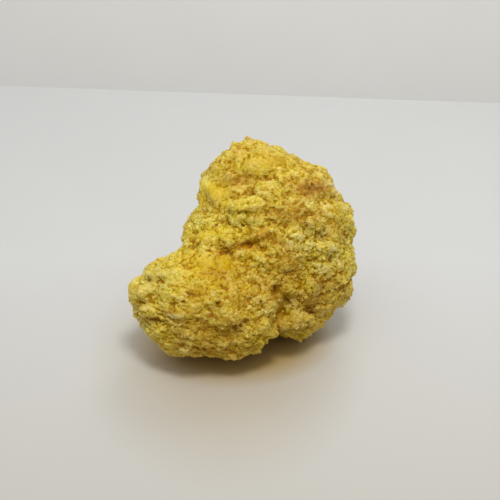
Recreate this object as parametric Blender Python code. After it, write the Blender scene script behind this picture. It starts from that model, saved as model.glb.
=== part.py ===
"""Native sulfur: a hand specimen of sugary yellow sulfur, grown as one lumpy piece.

Units are metres with +Z up. The specimen stands on the ground at Z = 0, with the origin under the
middle of its bounding box. Its display side looks towards -Y and leans back by LEAN.
"""

import math
import random

import bmesh
import bpy
from mathutils import Euler, Matrix, Vector, noise
from mathutils.bvhtree import BVHTree

MM = 0.001

# The display side is described on a plane that leans back from the ground. A place on it is
# (across, up, out): across runs along +X, up runs up the leaning plane, out comes out of it.
LEAN = math.radians(30.0)
PLANE_HEIGHT = 33.5 * MM  # of the plane's own origin above the ground

# Body masses: name, (across, up, out), (radii along the same three), roll on the plane in degrees.
MASSES = [
    ("main", (7, 2, -6), (24.5, 27, 22), 0),
    ("crown", (1.5, 23.7, -7), (13.4, 13.8, 15), 0),
    ("crown_right", (12.6, 22.3, -8), (9.8, 8.6, 12), 0),
    ("right_shoulder", (15.2, 15.3, -7), (14.2, 14.2, 16), 40),
    ("right_brow", (22.3, 9.3, -6), (12.7, 10, 14), 0),
    ("right_flank", (20.3, -3.5, -6), (13.8, 17.5, 17), 0),
    ("right_corner", (25.2, -11.3, -5), (8.3, 8.4, 10), 0),
    ("right_foot", (15, -18.5, -8), (11, 10.5, 12), 0),
    ("left_shoulder", (-7, 17.5, -4), (10, 14.5, 12), -22),
    ("waist", (-9.5, 4, -2), (12.3, 12, 13), 10),
    ("saddle", (-13.5, -6.5, 4.5), (12, 9.5, 12.5), 0),
    ("front_lobe", (-16.5, -17.5, 7), (19.5, 16, 15), 0),
    ("lobe_shoulder", (-26.4, -11.6, 5), (10.2, 8.2, 11), 0),
    ("front_tip", (-28.5, -16.5, 5), (10.5, 9.5, 10), 0),
    ("front_heel", (-23.3, -25, 4), (10.3, 9.4, 11), -30),
    ("front_right", (0, -19, 8), (9.5, 11.5, 10), 10),
    ("front_toe", (-8, -26, 7), (14, 9, 11), 0),
    ("front_foot", (-12, -26, -12), (11.5, 9.5, 10), 0),
    ("back", (6, -3, -22), (21, 21, 15), 0),
    ("rear_foot", (6, -14, -27), (15, 12.5, 12), 0),
    ("right_heel", (14, -20, -17), (9, 9, 10), 0),
]
# Hollows taken out of the body, in the same terms.
HOLLOWS = [
    ("crown_hollow", (-5, 23, 17), (8, 5.5, 8), 15),
    ("shoulder_hollow", (23, 18, 15), (8, 3.5, 7), -20),
    ("cleft_right", (10.5, -21, 9), (3, 7, 6), -12),
    ("flank_hollow", (17, -17, 13), (7, 4, 7), 10),
    ("under_ledge", (-1, 1.6, 16), (7, 1.6, 6), 15),
    ("back_hollow", (12, 8, -38), (9, 5, 4), -10),
    ("back_cleft", (-3, -2, -35), (2.5, 9, 5), 25),
]
# Pits in the display side: (across, up), (radii across and up), depth.
PITS = [
    ("crown_pit", (-1.5, 21.5), (1.2, 1.6), 2.2),
    ("crown_pit_low", (-0.6, 18.6), (1.5, 1.1), 1.8),
    ("cheek_pit", (-10.3, 13.3), (1.4, 1.0), 1.8),
    ("ledge_pit", (-2.3, 7.6), (1.6, 0.9), 1.8),
    ("brow_pit", (-10.4, -17.6), (1.5, 1.2), 2.4),
    ("lobe_pit", (-12.2, -21.2), (1.3, 1.0), 2.0),
    ("lobe_pit_low", (-3.3, -26.3), (1.6, 1.1), 2.2),
    ("lobe_cleft", (-31.5, -22.6), (4.5, 0.9), 3.0),
    ("flake_cleft", (-20.5, -25.0), (2.5, 0.9), 2.4),
    ("corner_pit", (8.0, -13.3), (1.2, 1.6), 2.4),
    ("knob_pit", (23.6, -12.3), (1.1, 1.5), 2.4),
    ("flank_pit", (14.5, 4.0), (1.6, 1.2), 2.0),
    ("flank_pit_low", (26.0, -3.0), (1.3, 1.5), 2.0),
    ("brow_pit_right", (19.0, 11.5), (2.2, 1.0), 2.0),
]
CORE_VOXEL = 1.2 * MM
CORE_SMOOTHING = 6
SWELL_SIZE = 11 * MM  # of the broad swellings over the whole body
SWELL_HEIGHT = 3.2 * MM

# Rounded lumps over the whole body: across, height, how much neighbours differ in height.
LUMPS = [(7.0 * MM, 2.0 * MM, 1.0 * MM), (3.2 * MM, 1.6 * MM, 1.1 * MM)]
# Places that stay smoother, in plane terms: middle, radii, share of the lumps' height taken away.
SMOOTH_ZONES = [
    ("saddle", (-13, -5, 12), (12, 7, 14), 0.75),
    ("waist_shelf", (-8, 5, 12), (15, 3, 12), 0.5),
    ("crown_face", (-8, 24, 8), (8, 8, 12), 0.4),
]

# Ledges: long flat lumps that run across the face.
LEDGES = [
    ("waist_ledge", (-5.5, 5.2, 11.3), (12.5, 2.7, 4.4), 12),
    ("lobe_brow", (-22, -8.5, 15), (12, 2.2, 5), -6),
    ("cleft_lip", (-30, -20, 13), (6, 1.8, 5), -4),
    ("flake", (-23, -20.5, 19), (4.5, 1.5, 4), -8),
    ("flank_knob", (20.5, -11.5, 9), (3, 2.4, 4), 0),
    ("toe_rim", (-4, -33, 7), (7, 1.8, 5), 4),
    ("terrace_top", (-31, -15.5, 12), (7, 1.5, 4), -10),
    ("terrace_middle", (-19, -16.5, 20), (6, 1.4, 4), -12),
    ("terrace_low", (-26, -27, 12), (7, 1.5, 4.5), -18),
    ("terrace_base", (-16, -30, 14), (7, 1.6, 4), -5),
    ("lobe_step", (-5, -22, 18), (6, 1.6, 4), 8),
    ("flank_step", (23, 1, 9), (6, 1.8, 5), -15),
    ("foot_step", (16, -23, 4), (6, 1.6, 4), 10),
    ("shoulder_step", (18, 9, 10), (7, 1.8, 5), -8),
    ("crown_step", (1, 14.5, 12.5), (8, 1.8, 5), 6),
    ("back_ledge", (14, -4, -35), (9, 2, 5), 12),
    ("back_ledge_high", (2, 14, -28), (8, 2, 5), -8),
]
# Blocky crystals that stand out of the body: how far apart, how big, how far their middles stand proud.
CRYSTAL_SPACING = 5.5 * MM
CRYSTAL_RADIUS = (1.2 * MM, 2.4 * MM)
CRYSTAL_FLATNESS = (0.6, 0.95)
CRYSTAL_STAND = (-0.5, -0.1)
CRYSTAL_SEED = 7

FUSE_VOXEL = 0.6 * MM
TRIANGLE_BUDGET = 9400
GROUND_SIZE = 200 * MM
PIT_START = 60  # how far out of the plane the way in to a pit starts, in millimetres

SULFUR_COLOUR = (0.58, 0.42, 0.07, 1.0)
SULFUR_ROUGHNESS = 0.6


def clear_scene():
    for obj in list(bpy.data.objects):
        bpy.data.objects.remove(obj, do_unlink=True)


def plane_matrix():
    """Turns a place on the leaning plane into the specimen's own frame."""
    across = Vector((1, 0, 0))
    up = Vector((0, math.sin(LEAN), math.cos(LEAN)))
    out = Vector((0, -math.cos(LEAN), math.sin(LEAN)))
    turn = Matrix((across, up, out)).transposed().to_4x4()
    return Matrix.Translation((0, 0, PLANE_HEIGHT)) @ turn


def add_ellipsoid(bm, centre, radii, roll, subdivisions=4):
    place = Matrix.Translation(Vector(centre) * MM)
    turn = Matrix.Rotation(math.radians(roll), 4, "Z")
    size = Matrix.Diagonal((*(Vector(radii) * MM), 1))
    bmesh.ops.create_icosphere(
        bm,
        subdivisions=subdivisions,
        radius=1.0,
        matrix=plane_matrix() @ place @ turn @ size,
    )


def object_from(bm, name):
    mesh = bpy.data.meshes.new(name)
    bm.to_mesh(mesh)
    bm.free()
    obj = bpy.data.objects.new(name, mesh)
    bpy.context.scene.collection.objects.link(obj)
    return obj


def settle(obj):
    """Makes the object's modifiers part of its mesh."""
    graph = bpy.context.evaluated_depsgraph_get()
    mesh = bpy.data.meshes.new_from_object(obj.evaluated_get(graph))
    obj.modifiers.clear()
    old = obj.data
    obj.data = mesh
    bpy.data.meshes.remove(old)


def remesh(obj, voxel):
    modifier = obj.modifiers.new("fuse", "REMESH")
    modifier.mode = "VOXEL"
    modifier.voxel_size = voxel


def swell(obj, size, height):
    texture = bpy.data.textures.new("swell", "CLOUDS")
    texture.noise_scale = size
    modifier = obj.modifiers.new("swell", "DISPLACE")
    modifier.texture = texture
    modifier.strength = height
    modifier.mid_level = 0.5


def cut(obj, cutter):
    cutter.hide_render = True
    cutter.display_type = "WIRE"
    modifier = obj.modifiers.new("cut", "BOOLEAN")
    modifier.operation = "DIFFERENCE"
    modifier.use_self = True  # the cutter's own shapes may overlap
    modifier.object = cutter
    settle(obj)
    bpy.data.objects.remove(cutter, do_unlink=True)


def build_core():
    bm = bmesh.new()
    for _, centre, radii, roll in MASSES:
        add_ellipsoid(bm, centre, radii, roll)
    core = object_from(bm, "core")
    remesh(core, CORE_VOXEL)
    smooth = core.modifiers.new("smooth", "SMOOTH")
    smooth.factor = 0.6
    smooth.iterations = CORE_SMOOTHING
    swell(core, SWELL_SIZE, SWELL_HEIGHT)
    settle(core)
    bm = bmesh.new()
    for _, centre, radii, roll in HOLLOWS:
        add_ellipsoid(bm, centre, radii, roll, subdivisions=3)
    cut(core, object_from(bm, "hollows"))
    bm = bmesh.new()
    bm.from_mesh(core.data)
    for _, centre, radii, roll in LEDGES:
        add_ellipsoid(bm, centre, radii, roll, subdivisions=3)
    bm.to_mesh(core.data)
    bm.free()
    remesh(core, FUSE_VOXEL)
    settle(core)
    return core


def calm_at(place):
    """The share of the lumps' height that is left at a place on the plane."""
    left = 1.0
    for _, centre, radii, share in SMOOTH_ZONES:
        reach = sum(((p / MM - c) / r) ** 2 for p, c, r in zip(place, centre, radii))
        left = min(left, 1.0 - share * math.exp(-reach))
    return left


def lump_height(point, size, height, step):
    """A rounded lump around each of the scattered cell middles, some higher and some lower."""
    distances, middles = noise.voronoi(point / size)
    dome = 1.0 - min(1.0, distances[0] / 0.8) ** 2
    return height * (dome - 0.5) + step * noise.noise(middles[0] * 7.3)


def raise_lumps(core):
    to_plane = plane_matrix().inverted()
    bm = bmesh.new()
    bm.from_mesh(core.data)
    for size, height, step in LUMPS:
        bm.normal_update()
        for vertex in bm.verts:
            rise = lump_height(vertex.co, size, height, step)
            vertex.co += vertex.normal * rise * calm_at(to_plane @ vertex.co)
    bm.to_mesh(core.data)
    bm.free()


def press_pits(core):
    """Takes each pit out of the first surface met on the way in along the plane's out direction."""
    to_world = plane_matrix()
    tree = BVHTree.FromPolygons(
        [vertex.co for vertex in core.data.vertices],
        [face.vertices for face in core.data.polygons],
    )
    inwards = -(to_world.to_3x3() @ Vector((0, 0, 1)))
    bm = bmesh.new()
    for _, (across, up), (wide, high), depth in PITS:
        start = to_world @ (Vector((across, up, PIT_START)) * MM)
        hit, _, _, _ = tree.ray_cast(start, inwards)
        out = (to_world.inverted() @ hit).z / MM
        add_ellipsoid(bm, (across, up, out), (wide, high, depth), 0, subdivisions=2)
    cut(core, object_from(bm, "pits"))


def spread_points(mesh, spacing, rng):
    """Points on the mesh at least spacing apart, with their normals."""
    faces = list(mesh.polygons)
    weights = [face.area for face in faces]
    tries = int(sum(weights) / spacing**2 * 12)
    kept = []
    cells = {}
    for face in rng.choices(faces, weights, k=tries):
        point = face.center
        cell = tuple(int(math.floor(c / spacing)) for c in point)
        near = (
            other
            for i in (-1, 0, 1)
            for j in (-1, 0, 1)
            for k in (-1, 0, 1)
            for other in cells.get((cell[0] + i, cell[1] + j, cell[2] + k), ())
        )
        if any((other - point).length < spacing for other in near):
            continue
        cells.setdefault(cell, []).append(point)
        kept.append((point.copy(), face.normal.copy()))
    return kept


def add_crystals(bm, core):
    rng = random.Random(CRYSTAL_SEED)
    for point, normal in spread_points(core.data, CRYSTAL_SPACING, rng):
        radius = rng.uniform(*CRYSTAL_RADIUS)
        sizes = (
            radius,
            radius * rng.uniform(*CRYSTAL_FLATNESS),
            radius * rng.uniform(*CRYSTAL_FLATNESS),
        )
        turn = Euler([rng.uniform(0, math.tau) for _ in range(3)]).to_matrix().to_4x4()
        place = Matrix.Translation(point + normal * radius * rng.uniform(*CRYSTAL_STAND))
        bmesh.ops.create_icosphere(
            bm, subdivisions=1, radius=1.0, matrix=place @ turn @ Matrix.Diagonal((*sizes, 1))
        )


def add_ground_cutter():
    bm = bmesh.new()
    bmesh.ops.create_cube(
        bm, size=GROUND_SIZE, matrix=Matrix.Translation((0, 0, -GROUND_SIZE / 2))
    )
    return object_from(bm, "ground")


def thin_out(obj, budget):
    triangles = sum(len(face.vertices) - 2 for face in obj.data.polygons)
    thin = obj.modifiers.new("thin", "DECIMATE")
    thin.ratio = budget / triangles
    thin.use_collapse_triangulate = True
    settle(obj)


def build_specimen():
    core = build_core()
    raise_lumps(core)
    remesh(core, FUSE_VOXEL)
    settle(core)
    press_pits(core)
    bm = bmesh.new()
    bm.from_mesh(core.data)
    add_crystals(bm, core)
    bpy.data.objects.remove(core, do_unlink=True)
    specimen = object_from(bm, "sulfur_specimen")
    remesh(specimen, FUSE_VOXEL)
    settle(specimen)
    thin_out(specimen, TRIANGLE_BUDGET)
    cut(specimen, add_ground_cutter())
    return specimen


def centre(obj):
    """Puts the middle of the object's bounding box over the origin."""
    across = [vertex.co.x for vertex in obj.data.vertices]
    along = [vertex.co.y for vertex in obj.data.vertices]
    middle = Vector(((min(across) + max(across)) / 2, (min(along) + max(along)) / 2, 0))
    obj.data.transform(Matrix.Translation(-middle))


def add_sulfur(obj):
    material = bpy.data.materials.new("native_sulfur")
    material.use_nodes = True
    shader = material.node_tree.nodes["Principled BSDF"]
    shader.inputs["Base Color"].default_value = SULFUR_COLOUR
    shader.inputs["Roughness"].default_value = SULFUR_ROUGHNESS
    shader.inputs["Metallic"].default_value = 0.0
    obj.data.materials.clear()
    obj.data.materials.append(material)


def main():
    clear_scene()
    specimen = build_specimen()
    centre(specimen)
    add_sulfur(specimen)


main()
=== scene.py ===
# %% [markdown]
# # A hand specimen of native sulfur
#
# The specimen is one crumbly lump of sugary sulfur, about 76 mm wide. The packed solid already has its
# masses, ledges and larger lumps. This file gives it the surface that you see up close: a crust of small
# lumps and pits, about twelve thousand small crystals, and a slightly glowing yellow finish.

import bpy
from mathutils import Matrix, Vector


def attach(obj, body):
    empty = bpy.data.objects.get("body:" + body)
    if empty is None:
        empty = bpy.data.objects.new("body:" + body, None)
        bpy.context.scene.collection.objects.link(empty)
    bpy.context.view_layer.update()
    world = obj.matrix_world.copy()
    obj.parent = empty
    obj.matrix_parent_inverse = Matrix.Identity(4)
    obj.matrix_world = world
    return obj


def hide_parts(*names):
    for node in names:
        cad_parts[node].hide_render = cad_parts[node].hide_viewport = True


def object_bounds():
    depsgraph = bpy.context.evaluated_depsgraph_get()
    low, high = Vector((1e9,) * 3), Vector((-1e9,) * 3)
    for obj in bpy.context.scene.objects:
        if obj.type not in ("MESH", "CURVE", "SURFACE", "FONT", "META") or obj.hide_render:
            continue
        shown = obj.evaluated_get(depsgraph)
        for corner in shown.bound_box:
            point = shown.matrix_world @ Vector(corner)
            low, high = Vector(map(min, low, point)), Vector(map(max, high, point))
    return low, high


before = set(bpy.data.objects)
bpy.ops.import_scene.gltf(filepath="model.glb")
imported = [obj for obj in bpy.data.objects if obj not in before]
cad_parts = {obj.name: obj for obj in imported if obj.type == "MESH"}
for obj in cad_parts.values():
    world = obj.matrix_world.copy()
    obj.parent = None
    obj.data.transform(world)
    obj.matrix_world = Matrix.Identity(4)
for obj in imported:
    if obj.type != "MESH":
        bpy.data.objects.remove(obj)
cad_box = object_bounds()
print("solid's box:", [[round(c, 4) for c in corner] for corner in cad_box])

# %% [markdown]
# ## Tools and units
#
# Blender works in metres, and the specimen is described in millimetres, so one constant turns one into
# the other. `numpy` handles all the points of a mesh at once, which is far quicker than a loop.

# %% Imports and units
import math

import bmesh
import bpy
import numpy as np
from mathutils import Matrix, Vector, noise

MM = 0.001
NODE = "sulfur_specimen"
print("Blender", bpy.app.version_string, "works on", NODE)

# %% [markdown]
# ## The display plane
#
# The specimen is meant to be seen from its front, a little from above. So places on it are easiest to
# name on a plane that leans back by 30 degrees: how far across, how far up, and how far out of the plane.
# The same plane faces the camera squarely at the end of this file.

# %% The display plane
LEAN = math.radians(30.0)
PLANE_ORIGIN = np.array((1.95, -2.29, 33.5)) * MM
ACROSS = np.array((1.0, 0.0, 0.0))
UP = np.array((0.0, math.sin(LEAN), math.cos(LEAN)))
OUT = np.array((0.0, -math.cos(LEAN), math.sin(LEAN)))


def plane_places(points):
    """Turns points in metres into (across, up, out) in millimetres."""
    return (points - PLANE_ORIGIN) @ np.array((ACROSS, UP, OUT)).T / MM


def nearness(places, centre, radii):
    """1 at the middle of an ellipsoid on the plane, falling softly to 0 outside it."""
    reach = (((places - np.array(centre)) / np.array(radii)) ** 2).sum(axis=1)
    return np.exp(-reach)


print("the plane leans back by", round(math.degrees(LEAN)), "degrees")

# %% [markdown]
# ## The crust, step 1: an even mesh
#
# The solid is made of large flat triangles. A voxel remesh turns a merged copy of it into small even
# squares, and a few rounds of smoothing take off the facets. What is left is the true form of the
# specimen, with enough points for the fine lumps that come next.
#
# In a few narrow valleys the real surface is a little fuller than the solid. There the points are pulled
# out towards the front by a millimetre or two, most in the middle of each fill and less around it.

# %% Copy the solid and merge its corners
MERGE_GAP = 0.001 * MM  # corners that are closer than this become one


def get_points(mesh, what="co"):
    """All the places of a mesh's points, or their normals, as rows of three numbers."""
    values = np.empty(len(mesh.vertices) * 3)
    if what == "co":
        mesh.vertices.foreach_get("co", values)
    else:
        mesh.vertex_normals.foreach_get("vector", values)
    return values.reshape(-1, 3)


def move_points(mesh, points):
    mesh.vertices.foreach_set("co", points.ravel())
    mesh.update()


def merged_copy(node, name):
    bm = bmesh.new()
    bm.from_mesh(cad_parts[node].data)
    bmesh.ops.remove_doubles(bm, verts=bm.verts, dist=MERGE_GAP)
    mesh = bpy.data.meshes.new(name)
    bm.to_mesh(mesh)
    bm.free()
    obj = bpy.data.objects.new(name, mesh)
    bpy.context.scene.collection.objects.link(obj)
    return obj


crust = merged_copy(NODE, "sulfur_crust")
print("merged copy:", len(crust.data.vertices), "points")

# %% Make it even and smooth
CRUST_VOXEL = 0.5 * MM
FACET_SMOOTHING = 24  # rounds
FACET_SHARE = 0.5  # how far a round moves each point towards the middle of its neighbours


def settle(obj):
    """Makes the object's modifiers part of its mesh."""
    graph = bpy.context.evaluated_depsgraph_get()
    mesh = bpy.data.meshes.new_from_object(obj.evaluated_get(graph))
    obj.modifiers.clear()
    old = obj.data
    obj.data = mesh
    bpy.data.meshes.remove(old)


remesh = crust.modifiers.new("even", "REMESH")
remesh.mode = "VOXEL"
remesh.voxel_size = CRUST_VOXEL
smooth = crust.modifiers.new("facets_off", "SMOOTH")
smooth.factor = FACET_SHARE
smooth.iterations = FACET_SMOOTHING
settle(crust)
print("crust points:", len(crust.data.vertices), "faces:", len(crust.data.polygons))

# %% Fill the narrow valleys
FILLS = [  # middle and radii on the plane, how far the surface comes out there, in millimetres
    ((-8, 1.2, 14), (5.5, 2.8, 8), 1.7),
    ((1.5, 2.2, 14.5), (5, 2.6, 8), 1.7),
    ((-3, 11, 15.5), (8, 3, 7), 1.6),
    ((-6, 11, 13), (5, 2.5, 6), 1.2),
    ((11.5, -19, 7), (4.5, 5, 8), 1.8),
]
points = get_points(crust.data)
for centre, radii, rise in FILLS:
    points += nearness(plane_places(points), centre, radii)[:, None] * rise * MM * OUT
move_points(crust.data, points)
print(len(FILLS), "valleys filled")

# %% [markdown]
# ## The crust, step 2: lumps on lumps
#
# Massive sulfur is built of rounded clusters, each made of smaller ones. Voronoi noise has just that
# build: every point in space belongs to its nearest cell middle. A dome over each cell makes a lump, and
# the cell borders become the creases between lumps. Three sizes, one on the other, give the rough look.
#
# On the front lobe and along the foot the sulfur grew as thin crusts instead, one over the other. The
# same noise makes them too, once space is squeezed across the crusts: the cells become flat flakes. Some
# places are smoother, so there all the heights are scaled down.
#
# A second noise pushes the cells about, so that they don't look like a honeycomb. Blender seeds that one
# from the clock, so the script sets its seed first, and the specimen comes out the same each time.

# %% The zones of the surface
SMOOTH_ZONES = [  # name, middle and radii on the plane, share of the height taken away
    ("saddle", (-13, -4.5, 12), (12, 5.5, 14), 0.65),
    ("waist ledge", (-8, 5.5, 12), (14, 2.6, 12), 0.25),
    ("cheek", (-12.5, 19, 6), (6, 5, 14), 0.85),
    ("lobe's upper left", (-29, -14, 6), (11, 7, 30), 0.55),
    ("crown hollow", (-4, 22.5, 8), (8, 4, 12), 0.6),
    ("crown", (3, 30, 0), (14, 7, 20), 0.5),
    ("shoulder", (14, 17, 0), (10, 7, 20), 0.35),
]
FLAKY_ZONES = [  # name, middle and radii on the plane, share of flakes
    ("lobe's left", (-27, -20, 6), (14, 11, 30), 1.0),
    ("lobe's middle", (-12, -19, 18), (10, 5, 20), 0.5),
    ("lobe's foot", (-8, -33, 6), (24, 6, 30), 1.0),
    ("left side", (-22, 6, -6), (9, 10, 14), 0.7),
    ("right foot", (14, -28, 0), (12, 5, 20), 0.8),
]
FLAKY_REACH = 1.6  # above 1, a zone is all flakes over a wider middle
FLAKE_TILT = math.radians(-12)  # the flakes fall this much towards the right
FLAKE_SHAPE = np.array((1.5, 0.55, 1.0))  # across, up and out, as shares of the lumps' size


def calm_share(places):
    """The share of the lumps' height that is left at each place."""
    left = np.ones(len(places))
    for _, centre, radii, share in SMOOTH_ZONES:
        left = np.minimum(left, 1.0 - share * nearness(places, centre, radii))
    return left


def flaky_share(places):
    """How much of each place's relief is flakes, and not lumps."""
    share = np.zeros(len(places))
    for _, centre, radii, most in FLAKY_ZONES:
        near = np.minimum(1.0, FLAKY_REACH * nearness(places, centre, radii))
        share = np.maximum(share, most * near)
    return share


def flake_places(places):
    """The places in a space that is turned and squeezed, in which flakes are round."""
    turn = np.array(
        (
            (math.cos(FLAKE_TILT), math.sin(FLAKE_TILT), 0),
            (-math.sin(FLAKE_TILT), math.cos(FLAKE_TILT), 0),
            (0, 0, 1),
        )
    )
    return places @ turn.T / FLAKE_SHAPE


print(len(SMOOTH_ZONES), "smooth zones and", len(FLAKY_ZONES), "flaky ones")

# %% Raise the lumps and the flakes
LUMPS = [  # across, height, how much neighbours differ in height, all in millimetres
    (4.2, 0.4, 0.66),
    (2.1, 0.38, 0.5),
    (1.1, 0.3, 0.4),
]
CREASE_WIDTH = 0.2  # this and the next two are shares of a lump's size
DOME_RADIUS = 0.8
WARP = 0.5  # how far the lumps' pattern is pushed about
WARP_BENDS = 1.3  # how often the push changes over one lump
NOISE_SEED = 13
LEVEL_STEP = 7.3  # how far apart the levels of neighbours are read, so that they have little in common
FLAKE_STEP = 1.3  # flakes differ this much more in height than lumps
TONE_SHARES = (0.5, 0.35, 0.35)  # how much each size of lump adds to the tone


def relief(place, size, height, step):
    """How high the surface is at a place, in millimetres, and the level of the lump that it is on."""
    place = Vector(place) / size
    place += noise.noise_vector(place * WARP_BENDS) * WARP
    distances, middles = noise.voronoi(place)
    crease = min(1.0, (distances[1] - distances[0]) / CREASE_WIDTH)
    dome = 1.0 - min(1.0, distances[0] / DOME_RADIUS) ** 2
    level = noise.noise(middles[0] * LEVEL_STEP)
    return height * (0.5 * dome + 0.5 * crease - 0.5) + step * level, level


noise.seed_set(NOISE_SEED)
tone = np.zeros(len(crust.data.vertices))
for (size, height, step), tone_share in zip(LUMPS, TONE_SHARES):
    points = get_points(crust.data)
    normals = get_points(crust.data, "normal")
    places = plane_places(points)
    flaky = flaky_share(places)[:, None]
    lumps = np.array([relief(place, size, height, step) for place in points / MM])
    flake_step = step * FLAKE_STEP
    flakes = np.array([relief(place, size, height, flake_step) for place in flake_places(places)])
    rises, levels = (lumps * (1 - flaky) + flakes * flaky).T
    rises *= calm_share(places)
    tone += tone_share * levels
    points += normals * (rises * MM)[:, None]
    points[:, 2] = np.maximum(points[:, 2], 0.0)
    move_points(crust.data, points)
    print(f"relief of {size} mm: heights {rises.min():.2f} to {rises.max():.2f} mm")

# %% [markdown]
# ## The crust, step 3: pores
#
# Here and there a small pore is left between the clusters. The same noise gives their places: one in the
# middle of a cell, but only in cells that a second noise picks out, so that the pores aren't everywhere.

# %% Press the pores in
PORE_SPACING = 3.6  # all in millimetres
PORE_RADIUS = (0.35, 0.75)
PORE_DEPTH = 1.1
PORE_PICK = 0.02  # a cell has a pore where its own noise is above this
PORE_STEP = 3.1  # how far apart the noise of neighbouring cells is read
PORE_GROWTH = 3.0  # how fast the radius grows with that noise
PORE_COUNTED = 0.2  # only pores that are deeper than this are counted in the print


def pore_depth(place):
    distances, middles = noise.voronoi(place / PORE_SPACING)
    pick = noise.noise(middles[0] * PORE_STEP)
    least, most = PORE_RADIUS
    radius = least + (most - least) * min(1.0, max(0.0, pick) * PORE_GROWTH)
    reach = distances[0] * PORE_SPACING / radius
    return PORE_DEPTH * max(0.0, 1.0 - reach**2) if pick > PORE_PICK else 0.0


points = get_points(crust.data)
normals = get_points(crust.data, "normal")
depths = np.array([pore_depth(Vector(place)) for place in points / MM])
depths *= calm_share(plane_places(points))
points -= normals * (depths * MM)[:, None]
points[:, 2] = np.maximum(points[:, 2], 0.0)
move_points(crust.data, points)
print("pores take", round(float((depths > PORE_COUNTED).mean()) * 100, 1), "% of the crust")

# %% [markdown]
# ## Where the surface is hollow
#
# Creases and pits catch little light, so the finish paints them darker and browner, as painted shade, and
# paints the crests paler, as a painted highlight. To find them, the crust is compared with a smoothed copy
# of itself: where the real surface lies under the smoothed one, it is hollow, and where it lies above, it
# is a crest. The result is kept on the mesh as an attribute, which the finish reads.

# %% Measure the hollows
FINE_ROUNDS = 14  # of smoothing
BROAD_ROUNDS = 90
FINE_DEPTH = 0.35  # the depths, in millimetres, that count as fully hollow
BROAD_DEPTH = 1.2


def smoothed(points, edges, rounds):
    """The points, each moved to the middle of its neighbours again and again."""
    count = np.bincount(edges.ravel(), minlength=len(points))[:, None]
    for _ in range(rounds):
        total = np.empty_like(points)
        for axis in range(3):
            total[:, axis] = np.bincount(edges[:, 0], points[edges[:, 1], axis], len(points))
            total[:, axis] += np.bincount(edges[:, 1], points[edges[:, 0], axis], len(points))
        points = (points + total / count) / 2
    return points


def hollow(points, normals, edges, rounds):
    """How far each point lies under the smoothed surface, in millimetres."""
    return ((smoothed(points, edges, rounds) - points) * normals).sum(axis=1) / MM


def keep_attribute(mesh, name, values):
    attribute = mesh.attributes.new(name, "FLOAT", "POINT")
    attribute.data.foreach_set("value", values.astype(np.float32))


points = get_points(crust.data)
normals = get_points(crust.data, "normal")
edges = np.empty(len(crust.data.edges) * 2, dtype=np.int64)
crust.data.edges.foreach_get("vertices", edges)
edges = edges.reshape(-1, 2)
fine = hollow(points, normals, edges, FINE_ROUNDS)
broad = hollow(points, normals, edges, BROAD_ROUNDS)
# these measures place the finish's painted shade in the hollows and painted highlight on the crests
keep_attribute(crust.data, "hollow_fine", np.clip(fine / FINE_DEPTH, -1, 1))
keep_attribute(crust.data, "hollow_broad", np.clip(broad / BROAD_DEPTH, -1, 1))
keep_attribute(crust.data, "lump_tone", np.clip(0.5 + tone, 0, 1))
keep_attribute(crust.data, "rough_share", calm_share(plane_places(points)))
print("fine hollows down to", round(fine.max(), 2), "mm, broad ones", round(broad.max(), 2), "mm")
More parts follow.
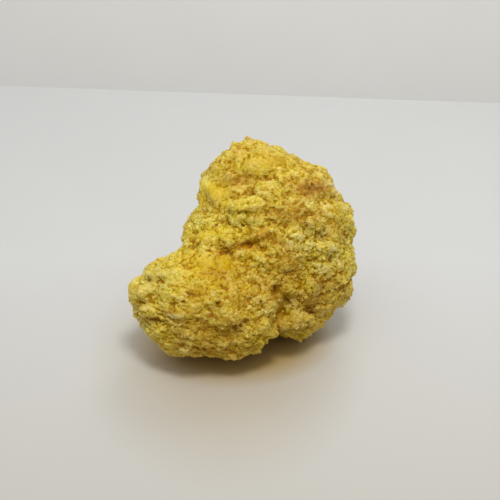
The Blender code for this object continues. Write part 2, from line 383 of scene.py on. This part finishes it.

# %% [markdown]
# ## Stains, patches and painted shade
#
# The yellow isn't even. There are saturated patches, pale ones, tan ones and orange-brown stains. But most
# orange and brown patches on the display side, and a few of the others, are painted shade in creases,
# pits, hollows and along the underside, and one pale patch is painted light on a shaded spot. On the
# display side each patch is a soft ellipse, named by its place on the display plane, so that it can be put
# just where it belongs. Behind, where no single patch matters, noise scatters them. The weights are kept
# as attributes too, one for each colour.

# %% Paint the patches
# Not every patch is a stain: some are painted shade and one is painted light, as noted at each colour.
PATCHES = {  # colour: [(across, up), (radii), strength]
    "gold": [
        # gold is the stone's own, except (8, -31), painted yellow light thrown up from the board onto the
        # foot, and (-5, 12.5), painted warm shade in the valley under the crown
        ((-12, -5), (11, 5.5), 0.9), ((-8, 5), (14, 2.6), 0.8), ((6, 31), (13, 4), 0.35),
        ((-12.5, 19), (5, 3.5), 0.7), ((-33, -26), (5, 6), 0.6), ((8, -31), (8, 4), 0.6),
        ((19, -11.7), (2.0, 1.5), 0.8), ((2, -1), (7, 5), 0.5), ((-14, -11.5), (12, 4), 0.7),
        ((-5, 12.5), (6, 4), 0.6),
    ],
    "orange": [
        # painted shade: the crease under the saddle (-11, -7.5), the pit and the crevice under the ledge
        # (-10, -1), (4, 5) and (-1.5, 1.4), the cleft right of the lobe (9.8, -24), the hollow right of the
        # crown (20, 20.5), and warm shade along the underside (-14, -34) and (21, -21)
        ((-11, -7.5), (5, 1.6), 0.5), ((-3.7, 33.5), (2, 1.5), 0.3), ((10, 30), (5, 2), 0.15),
        ((-10, -1), (1.4, 1.6), 0.9), ((4, 5), (3.2, 1.8), 0.9), ((-1.5, 1.4), (6, 1.6), 1.0),
        ((-15, -13.5), (7, 3.5), 0.3), ((9.8, -24), (1.6, 3), 0.7), ((20, 20.5), (6, 3), 0.6),
        ((-5, -15), (8, 3), 0.3), ((-14, -34), (16, 4), 0.35), ((21, -21), (7, 6), 0.3),
        ((-16, -13), (4, 2), 0.3), ((12, -4), (6, 5), 0.25),
    ],
    "tan": [
        # tan is the stone's own, and partly painted shade at (3, 31), where it darkens the crown against
        # the overhead light, and at (19, -15), (-10, -26) and (-8, -34), a hollow and the underside where
        # shade falls
        ((-4, 23), (7, 3.8), 0.8), ((15, 11.5), (12, 4.3), 1.0), ((19, -15), (9, 6), 0.8),
        ((-10, -26), (24, 9), 0.75), ((12, -3), (9, 8), 0.7), ((26, -12), (8, 9), 0.6),
        ((8, -12), (9, 9), 0.7), ((-4, -17), (9, 6), 0.5), ((14, -26), (11, 6), 0.6),
        ((-13, -5), (9, 4), 0.5), ((3, 31), (12, 4), 0.35),
        ((-8, -34), (24, 5), 0.6), ((20, 19), (7, 5), 0.6), ((28, 8), (5, 6), 0.5),
        ((-16, -13), (5, 2.5), 0.6), ((-4, -11), (6, 3.5), 0.7), ((-8, 26.5), (4, 3), 0.5),
        ((-34, -20), (4, 4), 0.5),
    ],
    "brown": [
        # brown on the display side is painted shade: the hollow right of the crown, the crevice under the
        # ledge, the cavity beside the knob, the cleft right of the lobe, undercuts below flakes and small
        # pits
        ((21, 20.5), (5, 2.4), 1.0), ((3.0, 3.2), (3.5, 1.4), 0.3), ((23, -10.8), (1.8, 1.6), 0.9),
        ((9, -15), (2, 4), 0.35), ((-31, -22.4), (4, 0.6), 0.8), ((-25.3, -19.7), (3, 0.5), 0.8),
        ((-10, -17.7), (1.1, 0.9), 1.0), ((-12, -21.2), (1.0, 0.7), 0.9), ((8, 2.5), (3, 2), 0.3),
        ((-8, -7), (6, 3.5), 0.25),
    ],
    "pale": [
        # pale is the stone's own, except (-35, -25), painted light on a shaded spot of the lower left lobe
        ((17, 3.0), (5, 4.5), 0.8), ((21, 15), (3.4, 1.7), 0.9), ((-14, 23.5), (2.5, 2.0), 0.7),
        ((22, -5.6), (2.4, 1.4), 0.8), ((-10.8, -13.8), (0.9, 1.3), 1.0),
        ((-24.5, -21.3), (3.5, 1.2), 0.6),
        ((-31, -12), (7, 6), 0.5), ((-13, 11), (6, 4), 0.2), ((26, 22), (3, 3), 0.5),
        ((27, -1), (4, 3), 0.4), ((-35, -25), (4, 4), 0.6),
    ],
}
FRONT_STARTS = (-12.0, -4.0)  # out of the plane: the patches fade in between these
BACK_PATCHES = {  # colour: where its noise starts, strength; behind the front, noise gives the patches
    "gold": ((11, 2, 5), 0.8),
    "orange": ((1, 4, 23), 0.35),
    "tan": ((3, 8, 1), 0.8),
    "brown": ((13, 6, 9), 0.3),
    "pale": ((7, 19, 4), 0.6),
}
BACK_PATCH_SIZE = 9.0
BACK_PATCH_EDGE = 3.0  # the higher, the sharper the edges of the patches behind
PATCH_COUNTED = 0.3  # the least weight that is counted in the print


def patch_weight(places, patches, back_start, back_strength):
    weight = np.zeros(len(places))
    for (across, up), (wide, high), strength in patches:
        weight = np.maximum(weight, strength * nearness(places[:, :2], (across, up), (wide, high)))
    back = [noise.noise(Vector(place) / BACK_PATCH_SIZE + Vector(back_start)) for place in places]
    back = back_strength * np.clip(np.array(back) * BACK_PATCH_EDGE, 0, 1)
    low, high = FRONT_STARTS
    front_share = np.clip((places[:, 2] - low) / (high - low), 0, 1)
    return front_share * weight + (1 - front_share) * back


places = plane_places(points)
for colour, patches in PATCHES.items():
    weights = patch_weight(places, patches, *BACK_PATCHES[colour])
    keep_attribute(crust.data, colour, weights)
    print(colour, "covers", round(float((weights > PATCH_COUNTED).mean()) * 100), "% of the points")

# %% [markdown]
# ## The colours
#
# All the colours of the finish stand together here, so that they are easy to change. Screen values from 0
# to 255 are the easiest to pick, but a shader works with linear light, so a short function turns
# the one into the other.

# %% Colours
def srgb(red, green, blue):
    """A colour given in 0 to 255 screen values, as the linear values that shaders use."""
    scaled = [value / 255 for value in (red, green, blue)]
    return (*[v / 12.92 if v <= 0.04045 else ((v + 0.055) / 1.055) ** 2.4 for v in scaled], 1.0)


LOW_YELLOW = srgb(200, 171, 52)
YELLOW = srgb(225, 199, 68)
HIGH_YELLOW = srgb(238, 218, 98)
COLOURS = {
    "gold": srgb(223, 191, 24),
    "orange": srgb(206, 144, 8),
    "tan": srgb(181, 140, 28),
    "brown": srgb(147, 94, 8),
    "pale": srgb(230, 216, 112),
}
# painted highlight on the crests and painted shade in the hollows
CREST_HIGHLIGHT_COLOUR = srgb(237, 218, 110)
HOLLOW_SHADE_COLOUR = srgb(156, 102, 4)
print("three yellows and", len(COLOURS), "patch colours")

# %% [markdown]
# ## A helper for shaders
#
# A shader made in code takes three or four lines for every node, and its idea drowns in them. So a small
# class adds a node with its inputs in one line, and has short names for the steps that come up often.
# All sizes of noise are in millimetres.

# %% A helper for shader nodes
NOISE_SETTINGS = {"Detail": 3.0, "Roughness": 0.55}
NOISE_MIDDLE = (0.3, 0.7)  # nearly all of the noise texture's values lie between these
CRUMB_WARP = 0.9  # how uneven the crumbs are, as a share of their size


class Nodes:
    """A short way to add shader nodes and join them."""

    def __init__(self, name):
        self.material = bpy.data.materials.new(name)
        self.material.use_nodes = True
        self.tree = self.material.node_tree
        self.shader = self.tree.nodes["Principled BSDF"]

    def put(self, socket, value):
        """Joins the value to the socket if it comes from a node, or else sets it there."""
        if isinstance(value, bpy.types.NodeSocket):
            self.tree.links.new(value, socket)
        else:
            socket.default_value = value

    def into(self, socket, value):
        self.put(self.shader.inputs[socket], value)

    def add(self, kind, inputs=None, **settings):
        node = self.tree.nodes.new(kind)
        for key, value in settings.items():
            setattr(node, key, value)
        for key, value in (inputs or {}).items():
            self.put(node.inputs[key], value)
        return node

    def noise(self, size_mm):
        where = self.add("ShaderNodeTexCoord").outputs["Object"]
        inputs = {"Vector": where, "Scale": 1 / (size_mm * MM), **NOISE_SETTINGS}
        return self.add("ShaderNodeTexNoise", inputs).outputs["Fac"]

    def soft(self, size_mm, to_low, to_high):
        """Noise that runs from one value to another."""
        return self.range(self.noise(size_mm), *NOISE_MIDDLE, to_low, to_high)

    def crumbs(self, size_mm):
        """Uneven cells: a level from 0 to 1 for each, and how far each place is from the next cell."""
        where = self.add("ShaderNodeTexCoord").outputs["Object"]
        scale = 1 / (size_mm * MM)
        push = self.add("ShaderNodeTexNoise", {"Vector": where, "Scale": scale}).outputs["Color"]
        reach = (size_mm * MM * CRUMB_WARP,) * 3
        pushed = self.vector("MULTIPLY_ADD", push, reach, where)
        inputs = {"Vector": pushed.outputs[0], "Scale": scale}
        middle = self.add("ShaderNodeTexVoronoi", inputs, feature="F1").outputs["Color"]
        edge = self.add("ShaderNodeTexVoronoi", inputs, feature="DISTANCE_TO_EDGE").outputs["Distance"]
        return self.add("ShaderNodeSeparateColor", {"Color": middle}).outputs["Red"], edge

    def range(self, value, low, high, to_low=0.0, to_high=1.0):
        return self.add(
            "ShaderNodeMapRange",
            {"Value": value, "From Min": low, "From Max": high, "To Min": to_low, "To Max": to_high},
        ).outputs["Result"]

    def attribute(self, name):
        return self.add("ShaderNodeAttribute", attribute_name=name).outputs["Fac"]

    def vector(self, operation, *values):
        return self.add("ShaderNodeVectorMath", dict(enumerate(values)), operation=operation)

    def math(self, operation, first, second):
        return self.add("ShaderNodeMath", {0: first, 1: second}, operation=operation).outputs[0]

    def multiply(self, first, second):
        return self.math("MULTIPLY", first, second)

    def power(self, value, exponent):
        return self.math("POWER", value, exponent)

    def mix(self, share, first, second, blend="MIX"):
        """Mixes two colours. The node has sockets for each kind of data, so unused ones are passed by."""
        node = self.add("ShaderNodeMix", data_type="RGBA", blend_type=blend)
        sockets = {s.name: s for s in node.inputs if s.enabled}
        for key, value in (("Factor", share), ("A", first), ("B", second)):
            self.put(sockets[key], value)
        return next(s for s in node.outputs if s.enabled)


print("node helper:", [name for name in vars(Nodes) if not name.startswith("_")])

# %% [markdown]
# ## The finish, layer by layer
#
# The colour is built in layers. Three yellows follow the levels of the lumps and a soft noise. The
# patches come over them, stains and painted shade among them. Then each crystal, and each crumb of a
# Voronoi pattern, is made a little darker or lighter at random, and the lines between crumbs are darker
# still, as painted shade. That isn't the same for all light: blue changes most, so dark grains turn golden
# and light ones turn pale. Last, the hollows are painted brown, as shade, and the crests cream, as a
# painted highlight. A painted texture could do all this too, but it would need a map, and these layers
# work from every side at any distance.

# %% The yellows and the patches
YELLOW_NOISE = 8.0
YELLOW_SHIFT = 0.25  # how far that noise moves the level either way
LOW_LEVELS = (0.15, 0.5)  # from the low yellow to the middle one
HIGH_LEVELS = (0.5, 0.9)  # from the middle yellow to the high one
PATCH_NOISE = 4.0
PATCH_BREAKUP = (0.75, 1.2)  # this noise scales the patches' weights
PATCH_ORDER = ("tan", "gold", "pale", "orange", "brown")  # the last one lies on top


def ground_colour(nodes):
    shift = nodes.soft(YELLOW_NOISE, -YELLOW_SHIFT, YELLOW_SHIFT)
    level = nodes.math("ADD", nodes.attribute("lump_tone"), shift)
    colour = nodes.mix(nodes.range(level, *LOW_LEVELS), LOW_YELLOW, YELLOW)
    colour = nodes.mix(nodes.range(level, *HIGH_LEVELS), colour, HIGH_YELLOW)
    breakup = nodes.soft(PATCH_NOISE, *PATCH_BREAKUP)
    # the patches hold stains, painted shade and painted light
    for key in PATCH_ORDER:
        colour = nodes.mix(nodes.multiply(nodes.attribute(key), breakup), colour, COLOURS[key])
    return colour


print("patches from the lowest to the top:", ", ".join(PATCH_ORDER))

# %% Darker and lighter grains
GRAIN_TONES = (0.74, 1.14)  # how much darker or lighter than their place the crystals can be
CRUMB_SIZE = 0.8  # in millimetres
CRUMB_TONES = (0.93, 1.07)
# painted shade along the cracks between crumbs
CRACK_SHADE = 0.82  # of the lines between crumbs
CRACK_WIDTH = 0.12  # as a share of a crumb's size
CALM_TONES = 0.3  # the share of the tones' power that is left where the crust is calm
TONE_POWERS = {"Red": 1.0, "Green": 1.2, "Blue": 2.8}  # pale grains lose their yellow, dark ones gain it
# painted shade: blue falls in the hollows and rises on the crests
BLUE_SHADE_RANGE = (-0.8, 0.8)  # blue falls from the first number below to the second between these
BLUE_SHADE_FACTORS = (2.0, 0.0)
BLUE_NOISE = 5.0
BLUE_BY_NOISE = (0.7, 1.4)


def toned(nodes, colour, fine):
    """The colour, darker or lighter by crystal and crumb, with painted shade: darker in the cracks
    between crumbs, and less blue in the hollows.
    """
    tone = nodes.range(nodes.attribute("grain_shade"), 0.0, 1.0, *GRAIN_TONES)
    level, edge = nodes.crumbs(CRUMB_SIZE)
    tone = nodes.multiply(tone, nodes.range(level, 0.0, 1.0, *CRUMB_TONES))
    # painted shade: darker along the cracks between crumbs
    tone = nodes.multiply(tone, nodes.range(edge, 0.0, CRACK_WIDTH, CRACK_SHADE, 1.0))
    tone = nodes.power(tone, nodes.range(nodes.attribute("rough_share"), 0.0, 1.0, CALM_TONES, 1.0))
    bands = {band: nodes.power(tone, power) for band, power in TONE_POWERS.items()}
    # painted shade: less blue in the hollows
    bands["Blue"] = nodes.multiply(bands["Blue"], nodes.range(fine, *BLUE_SHADE_RANGE, *BLUE_SHADE_FACTORS))
    bands["Blue"] = nodes.multiply(bands["Blue"], nodes.soft(BLUE_NOISE, *BLUE_BY_NOISE))
    tint = nodes.add("ShaderNodeCombineColor", bands).outputs[0]
    return nodes.mix(1.0, colour, tint, "MULTIPLY")


print("crystals' tones run from", GRAIN_TONES[0], "to", GRAIN_TONES[1])

# %% [markdown]
# ## The whole finish
#
# Sulfur is slightly see-through and glows from within, so the shader has a good deal of subsurface
# scattering. Red light travels furthest in it and blue hardly at all, as in the real mineral.
#
# Small noise in the bump stands for grains that are too fine for the mesh, and the gloss varies, so that
# here and there a crystal's face glints.

# %% The whole finish
# painted highlight on the crests, painted shade in the fine and the broad hollows
PAINTED_CREST_LIGHT = (-0.2, -1.0, 0.0, 0.3)  # the hollowness where the colour starts and is full, its share at each
FINE_PAINTED_SHADE = (0.03, 0.6, 0.0, 0.8)
BROAD_PAINTED_SHADE = (0.1, 1.0, 0.0, 0.4)
GLOSS_NOISE = 1.3
ROUGHNESS = (0.08, 0.5)
SHADER_SETTINGS = {
    "Specular IOR Level": 0.12,
    "IOR": 1.6,
    "Subsurface Weight": 0.7,
    "Subsurface Radius": (1.0, 0.7, 0.15),  # red, green and blue
    "Subsurface Scale": 1.0 * MM,
}
BUMP_NOISE = 0.45
BUMP_STRENGTH = 0.6
BUMP_DEPTH = 0.35 * MM


def sulfur_finish(name):
    nodes = Nodes(name)
    fine, broad = nodes.attribute("hollow_fine"), nodes.attribute("hollow_broad")
    colour = toned(nodes, ground_colour(nodes), fine)
    # painted highlight on the crests, then painted shade in the fine and the broad hollows
    colour = nodes.mix(nodes.range(fine, *PAINTED_CREST_LIGHT), colour, CREST_HIGHLIGHT_COLOUR)
    colour = nodes.mix(nodes.range(fine, *FINE_PAINTED_SHADE), colour, HOLLOW_SHADE_COLOUR)
    colour = nodes.mix(nodes.range(broad, *BROAD_PAINTED_SHADE), colour, HOLLOW_SHADE_COLOUR)
    nodes.into("Base Color", colour)
    nodes.into("Roughness", nodes.soft(GLOSS_NOISE, *ROUGHNESS))
    for socket, value in SHADER_SETTINGS.items():
        nodes.into(socket, value)
    heights = nodes.noise(BUMP_NOISE)
    inputs = {"Height": heights, "Strength": BUMP_STRENGTH, "Distance": BUMP_DEPTH}
    nodes.into("Normal", nodes.add("ShaderNodeBump", inputs).outputs["Normal"])
    return nodes.material


sulfur = sulfur_finish("native_sulfur")
crust.data.materials.clear()
crust.data.materials.append(sulfur)
crust.data.shade_smooth()
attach(crust, "root")
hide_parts(NODE)
print(sulfur.name, "has", len(sulfur.node_tree.nodes), "nodes")

# %% [markdown]
# ## Crystal grains
#
# Close up, the surface is sugary: it is covered with blunt little crystals about a millimetre across.
# One crystal is modelled once, as a pyramid on a pyramid with its tip cut off. Geometry Nodes scatter
# copies of it over the crust, sink each one a little into it, turn it at random, and make them all real
# mesh. There are far too many to place by hand, and as real mesh they export like any other piece.

# %% One crystal
GRAIN_SIDES = 4
GRAIN_TALL = 0.62  # the height of each pyramid, as a share of the grain's width
GRAIN_TIP_CUT = 0.45  # how far up the upper pyramid the tip is cut off
GRAIN_RADIUS = 0.5  # so that a grain is 1 wide before it is scaled
GRAIN_MERGE = 0.001  # this and the next are in grain widths too
CUT_MERGE = 0.0001


def make_crystal():
    bm = bmesh.new()
    bmesh.ops.create_cone(
        bm, segments=GRAIN_SIDES, radius1=GRAIN_RADIUS, radius2=0.0, depth=GRAIN_TALL,
        matrix=Matrix.Translation((0, 0, GRAIN_TALL / 2)),
    )
    bmesh.ops.create_cone(
        bm, segments=GRAIN_SIDES, radius1=0.0, radius2=GRAIN_RADIUS, depth=GRAIN_TALL,
        matrix=Matrix.Translation((0, 0, -GRAIN_TALL / 2)),
    )
    bmesh.ops.remove_doubles(bm, verts=bm.verts, dist=GRAIN_MERGE)
    cut_height = GRAIN_TALL * GRAIN_TIP_CUT
    cut = bmesh.ops.bisect_plane(
        bm, geom=bm.verts[:] + bm.edges[:] + bm.faces[:], dist=CUT_MERGE,
        plane_co=(0, 0, cut_height), plane_no=(0, 0, 1), clear_outer=True,
    )
    rim = [part for part in cut["geom_cut"] if isinstance(part, bmesh.types.BMEdge)]
    bmesh.ops.contextual_create(bm, geom=rim)
    bmesh.ops.recalc_face_normals(bm, faces=bm.faces)
    mesh = bpy.data.meshes.new("crystal")
    bm.to_mesh(mesh)
    bm.free()
    obj = bpy.data.objects.new("crystal", mesh)
    bpy.context.scene.collection.objects.link(obj)
    return obj


def triangle_count(mesh):
    return sum(len(face.vertices) - 2 for face in mesh.polygons)


crystal = make_crystal()
print("one crystal:", triangle_count(crystal.data), "triangles")

# %% Where the crystals grow
PATCH_SIZE = 5.5  # of the places with many crystals, in millimetres
SANDY_ZONES = [  # name, middle and radii on the plane: crystals cover these evenly
    ("shoulder's foot", (14, 10, 10), (13, 5, 14)),
    ("right flank", (20, -4, 8), (14, 12, 20)),
    ("lobe's low middle", (-10, -27, 12), (12, 6, 14)),
    ("left cheek", (-14, 9, 8), (8, 5, 14)),
]
CLEAR_OF_FLOOR = (0.5, 1.3)  # crystals start to grow between these heights, in millimetres
MEAN_COVER = 0.5
COVER_SWING = 1.6  # how strongly the patches differ
COVER_RANGE = (0.1, 1.0)


def grain_cover(points, places, offset):
    """The share of the ground that crystals may take: all of the sandy zones, little where calm."""
    patchy = [noise.noise(Vector(place) / PATCH_SIZE + Vector(offset)) for place in points / MM]
    cover = np.clip(MEAN_COVER + COVER_SWING * np.array(patchy), *COVER_RANGE)
    for _, centre, radii in SANDY_ZONES:
        cover = np.maximum(cover, nearness(places, centre, radii))
    low, high = CLEAR_OF_FLOOR
    return cover * calm_share(places) ** 2 * np.clip((points[:, 2] / MM - low) / (high - low), 0, 1)


points = get_points(crust.data)
places = plane_places(points)
for name, offset in (("coarse", (0, 0, 0)), ("middle", (31, 7, 3)), ("fine", (5, 43, 11))):
    cover = grain_cover(points, places, offset)
    keep_attribute(crust.data, name + "_cover", cover)
    print(name, "crystals cover", round(float(cover.mean()) * 100), "% of the crust")
keep_attribute(crust.data, "grain_shade", np.full(len(points), 0.5))

# %% The nodes that scatter them
GRAIN_SINK = 0.16  # how deep the crystals' middles lie in the crust, as a share of their mean width
CROWDING = 3.0  # points tried for each square of the least gap


def scatter_group(name, gap, least, most, seed):
    group = bpy.data.node_groups.new(name, "GeometryNodeTree")
    group.interface.new_socket("Geometry", in_out="INPUT", socket_type="NodeSocketGeometry")
    group.interface.new_socket("Geometry", in_out="OUTPUT", socket_type="NodeSocketGeometry")

    def add(kind, settings=(), **values):
        """Adds a node. An input's name is given with _ where it has a space."""
        node = group.nodes.new(kind)
        for key, value in dict(settings).items():
            setattr(node, key, value)
        for socket, value in values.items():
            node.inputs[socket.replace("_", " ")].default_value = value
        return node

    def link(node, output, target, socket):
        group.links.new(node.outputs[output], target.inputs[socket])

    start, end = add("NodeGroupInput"), add("NodeGroupOutput")
    cover = add("GeometryNodeInputNamedAttribute", Name=name + "_cover")
    spread = add(
        "GeometryNodeDistributePointsOnFaces", {"distribute_method": "POISSON"},
        Distance_Min=gap * MM, Density_Max=CROWDING / (gap * MM) ** 2, Seed=seed,
    )
    link(start, 0, spread, "Mesh")
    link(cover, "Attribute", spread, "Density Factor")

    depth = add(
        "ShaderNodeVectorMath", {"operation": "SCALE"}, Scale=-GRAIN_SINK * (least + most) / 2 * MM,
    )
    sink = add("GeometryNodeSetPosition")
    link(spread, "Normal", depth, 0)
    link(spread, "Points", sink, "Geometry")
    link(depth, "Vector", sink, "Offset")

    three = {"data_type": "FLOAT_VECTOR"}
    turn = add("FunctionNodeRandomValue", three, Max=(math.tau,) * 3, Seed=seed + 1)
    width = add(
        "FunctionNodeRandomValue", three, Min=(least * MM,) * 3, Max=(most * MM,) * 3, Seed=seed + 2,
    )
    source = add("GeometryNodeObjectInfo", Object=crystal)
    place = add("GeometryNodeInstanceOnPoints")
    link(sink, "Geometry", place, "Points")
    link(source, "Geometry", place, "Instance")
    link(turn, "Value", place, "Rotation")
    link(width, "Value", place, "Scale")

    shade = add("FunctionNodeRandomValue", {"data_type": "FLOAT"}, Seed=seed + 3)
    store = add(
        "GeometryNodeStoreNamedAttribute", {"data_type": "FLOAT", "domain": "INSTANCE"}, Name="grain_shade",
    )
    real = add("GeometryNodeRealizeInstances")
    link(shade, 1, store, "Value")  # the second output is the one for single numbers
    link(place, "Instances", store, "Geometry")
    link(store, "Geometry", real, "Geometry")
    link(real, "Geometry", end, 0)
    return group


print("crystals sink in by", round(GRAIN_SINK * 100), "% of their mean width")

# %% Scatter the crystals
GRAINS = [  # name, least gap, width from, to, seed, all lengths in millimetres
    ("coarse", 1.7, 1.3, 2.2, 3),
    ("middle", 1.05, 0.9, 1.4, 11),
    ("fine", 0.85, 0.55, 0.95, 23),
]


def scatter(name, gap, least, most, seed):
    grains = bpy.data.objects.new(name + "_grains", crust.data.copy())
    bpy.context.scene.collection.objects.link(grains)
    grains.modifiers.new("scatter", "NODES").node_group = scatter_group(name, gap, least, most, seed)
    settle(grains)
    grains.data.materials.clear()
    grains.data.materials.append(sulfur)
    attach(grains, "root")
    print(name, "grains:", triangle_count(grains.data), "triangles")
    return grains


pieces = [crust] + [scatter(*settings) for settings in GRAINS]
bpy.data.objects.remove(crystal)

# %% [markdown]
# ## A map for baking
#
# To leave Blender with its colours, a mesh needs a UV map. The simplest one for a rough lump is a box:
# each face is projected along the axis it faces most, onto one of six squares laid out three by two.

# %% Lay out the box map
MAP_NAME = "OFBake"
MAP_EDGE = 0.02  # left free around each square
MAP_SQUARES = (3, 2)  # one column for each axis, one row for each side
box_low = np.array(cad_box[0])
box_side = (np.array(cad_box[1]) - box_low).max()


def add_box_map(mesh):
    count = len(mesh.loops)
    corner_points = np.empty(count, dtype=np.int64)
    mesh.loops.foreach_get("vertex_index", corner_points)
    normals = np.empty(len(mesh.polygons) * 3)
    mesh.polygons.foreach_get("normal", normals)
    sizes = np.empty(len(mesh.polygons), dtype=np.int64)
    mesh.polygons.foreach_get("loop_total", sizes)
    normals = normals.reshape(-1, 3)
    axis = np.abs(normals).argmax(axis=1)
    side = normals[np.arange(len(axis)), axis] > 0
    axis, side = np.repeat(axis, sizes), np.repeat(side, sizes)
    corners = (get_points(mesh)[corner_points] - box_low) / box_side
    corners = MAP_EDGE + np.clip(corners, 0, 1) * (1 - 2 * MAP_EDGE)
    rows = np.arange(count)
    flat = np.stack((corners[rows, (axis + 1) % 3], corners[rows, (axis + 2) % 3]), axis=1)
    flat = (flat + np.stack((axis, side), axis=1)) / MAP_SQUARES
    layer = mesh.uv_layers.new(name=MAP_NAME)
    layer.data.foreach_set("uv", flat.ravel())


for piece in pieces:
    add_box_map(piece.data)
    print(piece.name, "has a map", [layer.name for layer in piece.data.uv_layers])

# %% [markdown]
# ## Floor, light and camera
#
# A pale board and a pale backdrop stand in for a plain display table. A broad light overhead fills most of
# the shadows, a small one beside it is strong enough to draw the lumps, and a weak one behind lifts the
# upper edge. Around the foot the board is painted with shade: two soft ellipses of yellow-brown tint in the
# board's colour, a painted shadow with painted yellow light thrown back from the sulfur.

# %% Card, and card with a painted shadow on it
CARD_NOISE = 40.0  # in millimetres
CARD_DARKER = 0.98
FADE = (0.05, -0.12)  # from the card's own colour here to its front colour there, in metres along y
# painted shadow with painted yellow light thrown back from the sulfur
SHADOW_BOUNCE_COLOUR = srgb(172, 142, 62)
# painted shadow on the board; the last column is how strong the tint is inside
PAINTED_SHADOW_PATCHES = [  # middle and radii in metres, starts to thin out, ends, how thick it lies inside
    ((-0.004, -0.006, 0.0), (0.034, 0.027, 1.0), 0.65, 1.05, 0.8),
    ((-0.006, -0.014, 0.0), (0.040, 0.060, 1.0), 0.5, 1.2, 0.3),
]


def card(name, colour, roughness):
    nodes = Nodes(name)
    darker = tuple(c * CARD_DARKER for c in colour[:3]) + (1,)
    tint = nodes.mix(nodes.soft(CARD_NOISE, 0.0, 1.0), colour, darker)
    nodes.into("Base Color", tint)
    nodes.into("Roughness", roughness)
    return nodes, tint


def shadow_painted_card(name, colour, front_colour, roughness):
    """Card that darkens a little towards the front, with a painted shadow and painted yellow bounce light
    around the specimen's foot.
    """
    nodes, tint = card(name, colour, roughness)
    where = nodes.add("ShaderNodeTexCoord").outputs["Object"]
    along = nodes.add("ShaderNodeSeparateXYZ", {0: where}).outputs["Y"]
    tint = nodes.mix(nodes.range(along, *FADE), tint, front_colour)
    # painted shadow and yellow bounce light, strongest near the foot
    for middle, radii, starts, ends, most in PAINTED_SHADOW_PATCHES:
        centred = nodes.vector("SUBTRACT", where, middle).outputs[0]
        scaled = nodes.vector("DIVIDE", centred, radii).outputs[0]
        far = nodes.vector("LENGTH", scaled).outputs["Value"]
        tint = nodes.mix(nodes.range(far, starts, ends, most, 0.0), tint, SHADOW_BOUNCE_COLOUR)
    nodes.into("Base Color", tint)
    return nodes.material


# the painted shadow and bounce light lie in these patches
print("dust lies in", len(PAINTED_SHADOW_PATCHES), "patches")

# %% The stage
BOARD_SIZE = 900 * MM
BOARD_BACK = 204 * MM
BOARD_TURN = math.radians(-5)
BOARD_COLOUR = srgb(207, 208, 208)
BOARD_FRONT = srgb(184, 181, 173)
BOARD_ROUGHNESS = 0.6
WALL_SIZE = 2 * BOARD_SIZE
WALL_GAP = 60 * MM
WALL_TILT = math.radians(60)  # 90 would be upright
WALL_COLOUR = srgb(218, 218, 215)
WALL_ROUGHNESS = 0.7


def flat_square(name, size, matrix, material):
    bm = bmesh.new()
    bmesh.ops.create_grid(bm, x_segments=1, y_segments=1, size=size / 2, matrix=matrix)
    mesh = bpy.data.meshes.new(name)
    bm.to_mesh(mesh)
    bm.free()
    mesh.materials.append(material)
    obj = bpy.data.objects.new(name, mesh)
    bpy.context.scene.collection.objects.link(obj)
    print(name, "is", round(size / MM), "mm wide")


turn = Matrix.Rotation(BOARD_TURN, 4, "Z")
board_card = shadow_painted_card("board_card", BOARD_COLOUR, BOARD_FRONT, BOARD_ROUGHNESS)
flat_square("board", BOARD_SIZE, turn @ Matrix.Translation((0, BOARD_BACK - BOARD_SIZE / 2, 0)), board_card)
wall_place = Matrix.Translation((0, BOARD_BACK + WALL_GAP, 0)) @ Matrix.Rotation(WALL_TILT, 4, "X")
wall_card = card("backdrop_card", WALL_COLOUR, WALL_ROUGHNESS)[0].material
flat_square("backdrop", WALL_SIZE, turn @ wall_place, wall_card)

# %% The lights
LIGHTS = [  # name, place and width in metres, power in watts, colour
    ("key", (0.05, -0.25, 0.62), 0.16, 2.0, (1.0, 0.985, 0.96)),
    ("overhead", (-0.05, -0.3, 0.68), 1.1, 2.2, (1.0, 0.99, 0.97)),
    ("back", (0.1, 0.36, 0.46), 0.25, 0.45, (1.0, 0.99, 0.97)),
]
LIT_POINT = (0, 0, 0.02)  # all of them face this point in the specimen
ROOM_COLOUR = (1.0, 0.99, 0.97, 1.0)
ROOM_LIGHT = 0.38


def soft_light(name, place, size, power, colour):
    data = bpy.data.lights.new(name, "AREA")
    data.shape = "DISK"
    data.size = size
    data.energy = power
    data.color = colour
    obj = bpy.data.objects.new(name, data)
    obj.location = place
    obj.rotation_euler = (Vector(LIT_POINT) - Vector(place)).to_track_quat("-Z", "Y").to_euler()
    bpy.context.scene.collection.objects.link(obj)
    print(name, "light:", power, "W,", size, "m wide")


for settings in LIGHTS:
    soft_light(*settings)
world = bpy.data.worlds.new("room")
world.use_nodes = True
background = world.node_tree.nodes["Background"]
background.inputs["Color"].default_value = ROOM_COLOUR
background.inputs["Strength"].default_value = ROOM_LIGHT
bpy.context.scene.world = world
bpy.context.scene.view_settings.view_transform = "Standard"

# %% The camera
CAMERA_DISTANCE = 450 * MM
CAMERA_START = 10 * MM  # nothing nearer than this is seen
FRAME_WIDTH = 500 / 3 * MM  # what the frame takes in at the display plane
SENSOR = 36.0  # the sensor and the lens are in Blender's own unit, millimetres
camera_data = bpy.data.cameras.new("camera")
camera_data.sensor_width = SENSOR
camera_data.lens = SENSOR * CAMERA_DISTANCE / FRAME_WIDTH
camera_data.clip_start = CAMERA_START
camera = bpy.data.objects.new("camera", camera_data)
camera.location = Vector(PLANE_ORIGIN) + Vector(OUT) * CAMERA_DISTANCE
camera.rotation_euler = (-Vector(OUT)).to_track_quat("-Z", "Y").to_euler()
bpy.context.scene.collection.objects.link(camera)
bpy.context.scene.camera = camera
print("lens:", round(camera_data.lens, 1), "mm")
